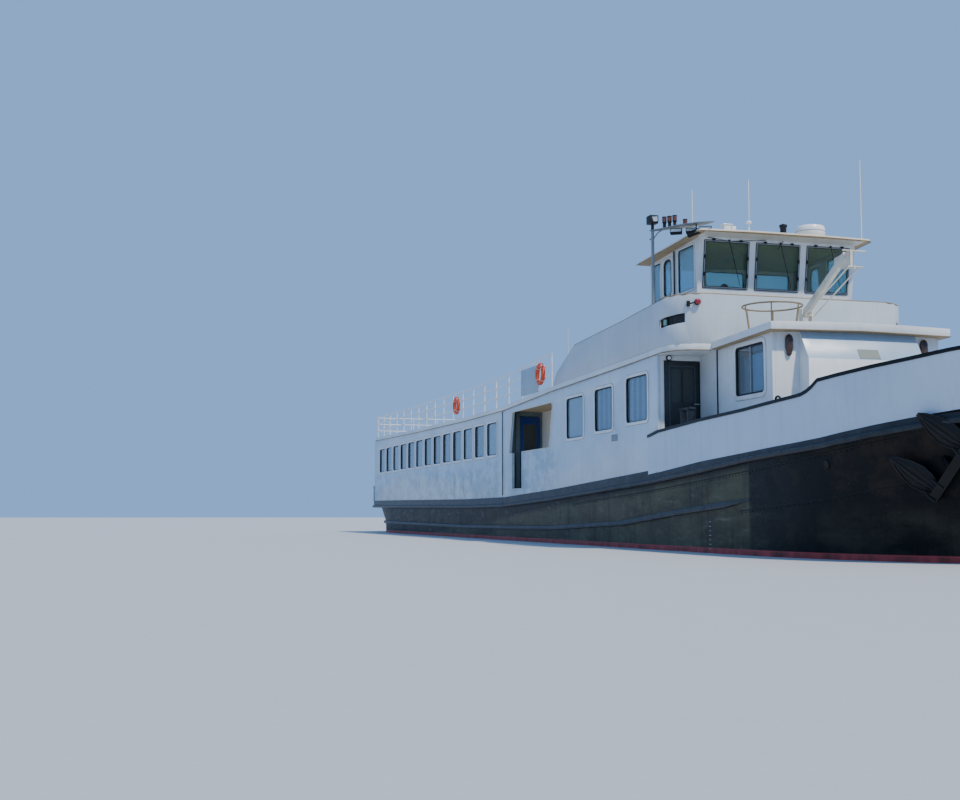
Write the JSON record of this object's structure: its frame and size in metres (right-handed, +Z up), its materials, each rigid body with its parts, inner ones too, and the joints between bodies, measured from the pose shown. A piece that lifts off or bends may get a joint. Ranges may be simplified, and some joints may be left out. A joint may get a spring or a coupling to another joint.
{
  "type": "hotel ship, a converted river barge, as a 1:2 scale model",
  "caption": "Long low hotel ship with a black hull, white cabins, wheelhouse, folding mast, doors, rudder and propeller.",
  "frame": {"origin": "amidships on the centreline at the waterline", "axes": "+X to the bow, +Y to port, +Z up"},
  "size_m": [25.2046, 3.4, 5.63],
  "materials": {
    "hull_paint": "satin black",
    "strake_paint": "gloss black",
    "cap_paint": "gloss black",
    "white_paint": "gloss white",
    "roof_paint": "weathered white",
    "door_dark": "satin dark grey",
    "door_blue": "gloss blue",
    "glass": "clear, with light curtains behind",
    "antifouling": "matt red",
    "bronze": "polished",
    "galvanised": "grey",
    "black_iron": "satin black",
    "rail_paint": "gloss white",
    "white_plastic": "gloss white"
  },
  "bodies": {
    "root": {"anchor_port": "black_iron", "anchor_stbd": "black_iron", "bollards_aft_port": "black_iron", "bollards_aft_stbd": "black_iron", "bollards_fore_port": "black_iron", "bollards_fore_stbd": "black_iron", "bridge_screen": "white_paint", "deck_mast": "galvanised", "entry_lobby_port": "roof_paint", "entry_lobby_stbd": "roof_paint", "forecastle": "white_paint", "forehouse_front": "white_paint", "forehouse_roof": "roof_paint", "forehouse_side_port": "white_paint", "forehouse_side_stbd": "white_paint", "glazing_aft_port": "glass", "glazing_aft_stbd": "glass", "glazing_fore_port": "glass", "glazing_fore_stbd": "glass", "guard_ring": "galvanised", "helm_console": "door_dark", "house_aft_wall": "white_paint", "house_front_wall": "white_paint", "house_side_aft_port": "white_paint", "house_side_aft_stbd": "white_paint", "house_side_fore_port": "white_paint", "house_side_fore_stbd": "white_paint", "hull": "hull_paint", "light_post": "galvanised", "lower_strake_port": "strake_paint", "lower_strake_stbd": "strake_paint", "mast_foot": "cap_paint", "radome": "white_plastic", "rail_cap": "cap_paint", "railing_aft": "rail_paint", "railing_port": "rail_paint", "railing_stbd": "rail_paint", "searchlight": "black_iron", "skeg": "antifouling", "stern_bulwark": "white_paint", "upper_deck": "roof_paint", "upper_strake_aft": "strake_paint", "upper_strake_fore": "strake_paint", "wheelhouse_aft": "white_paint", "wheelhouse_front": "white_paint", "wheelhouse_glass": "glass", "wheelhouse_roof": "roof_paint", "wheelhouse_side_port": "white_paint", "wheelhouse_side_stbd": "white_paint", "windlass": "black_iron"},
    "propeller": {"propeller": "bronze"},
    "rudder": {"rudder": "antifouling"},
    "mast": {"folding_mast": "galvanised"},
    "fore_door_stbd": {"fore_door_stbd": "door_dark"},
    "fore_door_port": {"fore_door_port": "door_dark"},
    "entry_door_stbd": {"entry_door_stbd": "door_blue"},
    "entry_door_port": {"entry_door_port": "door_blue"},
    "wheelhouse_door_stbd": {"wheelhouse_door_stbd": "white_paint"},
    "wheelhouse_door_port": {"wheelhouse_door_port": "white_paint"},
    "aft_door": {"aft_door": "door_dark"}
  },
  "joints": [
    {"name": "propeller_spin", "type": "hinge", "parent": "root", "child": "propeller", "pos_m": [-11.42, 0, -0.3], "axis": [1, 0, 0], "continuous": true},
    {"name": "rudder_turn", "type": "hinge", "parent": "root", "child": "rudder", "pos_m": [-11.95, 0, -0.3], "axis": [0, 0, 1], "range_deg": [-40, 40]},
    {"name": "mast_fold", "type": "hinge", "parent": "root", "child": "mast", "pos_m": [7.236, 0, 2.889], "axis": [0, -1, 0], "range_deg": [0, 60]},
    {"name": "fore_door_stbd_swing", "type": "hinge", "parent": "root", "child": "fore_door_stbd", "pos_m": [6.458, -1.554, 1.816], "axis": [0, 0, 1], "range_deg": [0, 90]},
    {"name": "fore_door_port_swing", "type": "hinge", "parent": "root", "child": "fore_door_port", "pos_m": [6.458, 1.554, 1.816], "axis": [0, 0, -1], "range_deg": [0, 90]},
    {"name": "entry_door_stbd_swing", "type": "hinge", "parent": "root", "child": "entry_door_stbd", "pos_m": [0.248, -1.086, 1.478], "axis": [0, 0, -1], "range_deg": [0, 90]},
    {"name": "entry_door_port_swing", "type": "hinge", "parent": "root", "child": "entry_door_port", "pos_m": [0.248, 1.086, 1.478], "axis": [0, 0, 1], "range_deg": [0, 90]},
    {"name": "wheelhouse_door_stbd_swing", "type": "hinge", "parent": "root", "child": "wheelhouse_door_stbd", "pos_m": [5.466, -1.102, 3.161], "axis": [0, 0, -1], "range_deg": [0, 90]},
    {"name": "wheelhouse_door_port_swing", "type": "hinge", "parent": "root", "child": "wheelhouse_door_port", "pos_m": [5.466, 1.102, 3.161], "axis": [0, 0, 1], "range_deg": [0, 90]},
    {"name": "aft_door_swing", "type": "hinge", "parent": "root", "child": "aft_door", "pos_m": [-11.258, -0.204, 1.365], "axis": [0, 0, -1], "range_deg": [0, 90]}
  ]
}
